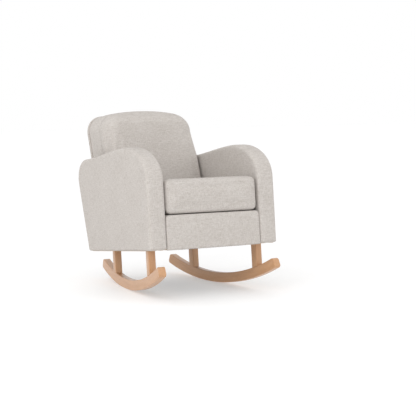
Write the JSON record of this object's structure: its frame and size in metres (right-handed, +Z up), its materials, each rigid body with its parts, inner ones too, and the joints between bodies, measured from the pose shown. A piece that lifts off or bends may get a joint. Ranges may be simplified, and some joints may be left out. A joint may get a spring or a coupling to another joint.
{
  "type": "rocking nursery chair",
  "caption": "Upholstered rocking nursery chair: rounded backrest, tall curved arms and loose seat cushion on curved wooden rockers.",
  "frame": {"origin": "on the floor under the middle of the chair's box, chair leaning back at its natural rest", "axes": "+Z up, the chair faces -Y, +X is the sitter's left (a viewer in front sees it on the right)"},
  "size_m": [0.7, 1.0166, 0.8731],
  "materials": {
    "upholstery": "matte",
    "beech": "satin",
    "frame_timber": "matte",
    "plywood": "matte",
    "foam": "matte",
    "deck_cloth": "matte",
    "webbing": "matte",
    "dust_cloth": "matte",
    "zip_tape": "matte",
    "zip_metal": "satin",
    "zinc_steel": "satin"
  },
  "bodies": {
    "chair": {"arm_board_inner_left": "plywood", "arm_board_inner_right": "plywood", "arm_board_outer_left": "plywood", "arm_board_outer_right": "plywood", "arm_bolt_front_left": "zinc_steel", "arm_bolt_front_right": "zinc_steel", "arm_bolt_rear_left": "zinc_steel", "arm_bolt_rear_right": "zinc_steel", "arm_cover_left": "upholstery", "arm_cover_right": "upholstery", "arm_spacer_front_left": "frame_timber", "arm_spacer_front_right": "frame_timber", "arm_spacer_top_left": "frame_timber", "arm_spacer_top_right": "frame_timber", "back_bolt_left": "zinc_steel", "back_bolt_right": "zinc_steel", "back_cover": "upholstery", "back_foam_pad": "foam", "back_post_left": "frame_timber", "back_post_right": "frame_timber", "back_rail_lower": "frame_timber", "back_rail_top": "frame_timber", "back_webbing": "webbing", "base_rail_front": "frame_timber", "base_rail_left": "frame_timber", "base_rail_rear": "frame_timber", "base_rail_right": "frame_timber", "corner_block_left": "frame_timber", "corner_block_right": "frame_timber", "dust_cover": "dust_cloth", "front_panel": "upholstery", "leg_block_front_left": "frame_timber", "leg_block_front_right": "frame_timber", "leg_block_rear_left": "frame_timber", "leg_block_rear_right": "frame_timber", "leg_bolt_front_left": "zinc_steel", "leg_bolt_front_right": "zinc_steel", "leg_bolt_rear_left": "zinc_steel", "leg_bolt_rear_right": "zinc_steel", "leg_front_left": "beech", "leg_front_right": "beech", "leg_rear_left": "beech", "leg_rear_right": "beech", "outside_back_panel": "upholstery", "rocker_left": "beech", "rocker_right": "beech", "seat_deck_pad": "deck_cloth", "seat_spring_1": "zinc_steel", "seat_spring_2": "zinc_steel", "seat_spring_3": "zinc_steel", "seat_spring_4": "zinc_steel", "tenon_front_left": "beech", "tenon_front_right": "beech", "tenon_rear_left": "beech", "tenon_rear_right": "beech"},
    "seat_cushion": {"seat_cushion_cover": "upholstery", "seat_cushion_foam": "foam", "zip_tape": "zip_tape"},
    "zip_slider": {"zip_slider": "zip_metal"}
  },
  "joints": [
    {"name": "seat_cushion_lift", "type": "slide", "parent": "chair", "child": "seat_cushion", "axis": [0, 0.1132, 0.9936], "range_m": [0, 0.35]},
    {"name": "zip_slider_run", "type": "slide", "parent": "seat_cushion", "child": "zip_slider", "axis": [1, 0, 0], "range_m": [0, 0.386]}
  ]
}
